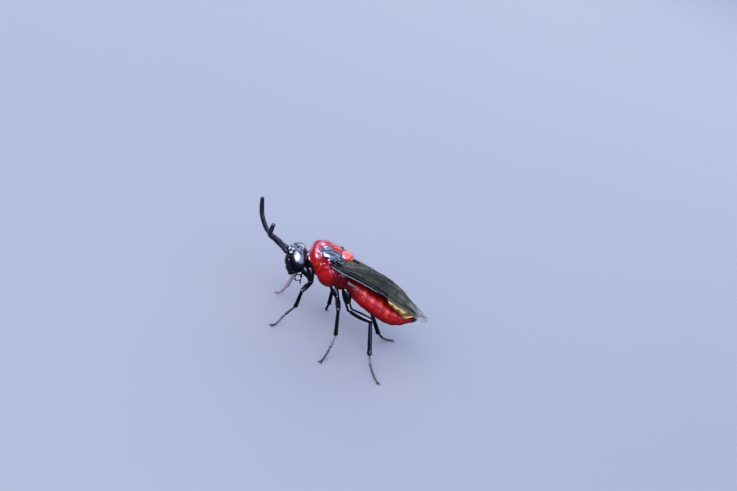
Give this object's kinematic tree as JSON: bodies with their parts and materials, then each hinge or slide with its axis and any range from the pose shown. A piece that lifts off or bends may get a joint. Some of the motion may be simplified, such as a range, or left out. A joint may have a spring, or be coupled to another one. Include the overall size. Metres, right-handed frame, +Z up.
{
  "type": "arge coccinea sawfly model",
  "caption": "Still, life-size model of a red and black argid sawfly standing on six legs with its wings folded roof-like over the abdomen and its antennae raised.",
  "frame": {"origin": "on the floor, below the middle of the whole animal's box", "axes": "+Z up from the floor, the head towards -X and the wing tips towards +X, the animal's left side towards -Y"},
  "size_m": [0.014, 0.008, 0.0073],
  "materials": {
    "cuticle_red": "glossy scarlet cuticle with fine pits and paler flecks",
    "cuticle_black": "glossy blue-black cuticle with short fine hairs",
    "eye_black": "smooth polished black with faint facets",
    "wing_smoky": "thin smoky olive-brown membrane with dark veins",
    "wing_amber": "thin pale amber membrane with brown veins"
  },
  "bodies": {
    "root": {"thorax": "cuticle_red", "abdomen": "cuticle_red", "head": "cuticle_black", "sheath": "cuticle_black", "eye_left": "eye_black", "eye_right": "eye_black", "antenna_left": "cuticle_black", "antenna_right": "cuticle_black", "forewing_left": "wing_smoky", "forewing_right": "wing_smoky", "hindwing_left": "wing_amber", "hindwing_right": "wing_amber", "leg_front_left": "cuticle_black", "leg_front_right": "cuticle_black", "leg_middle_left": "cuticle_black", "leg_middle_right": "cuticle_black", "leg_hind_left": "cuticle_black", "leg_hind_right": "cuticle_black"}
  },
  "joints": []
}
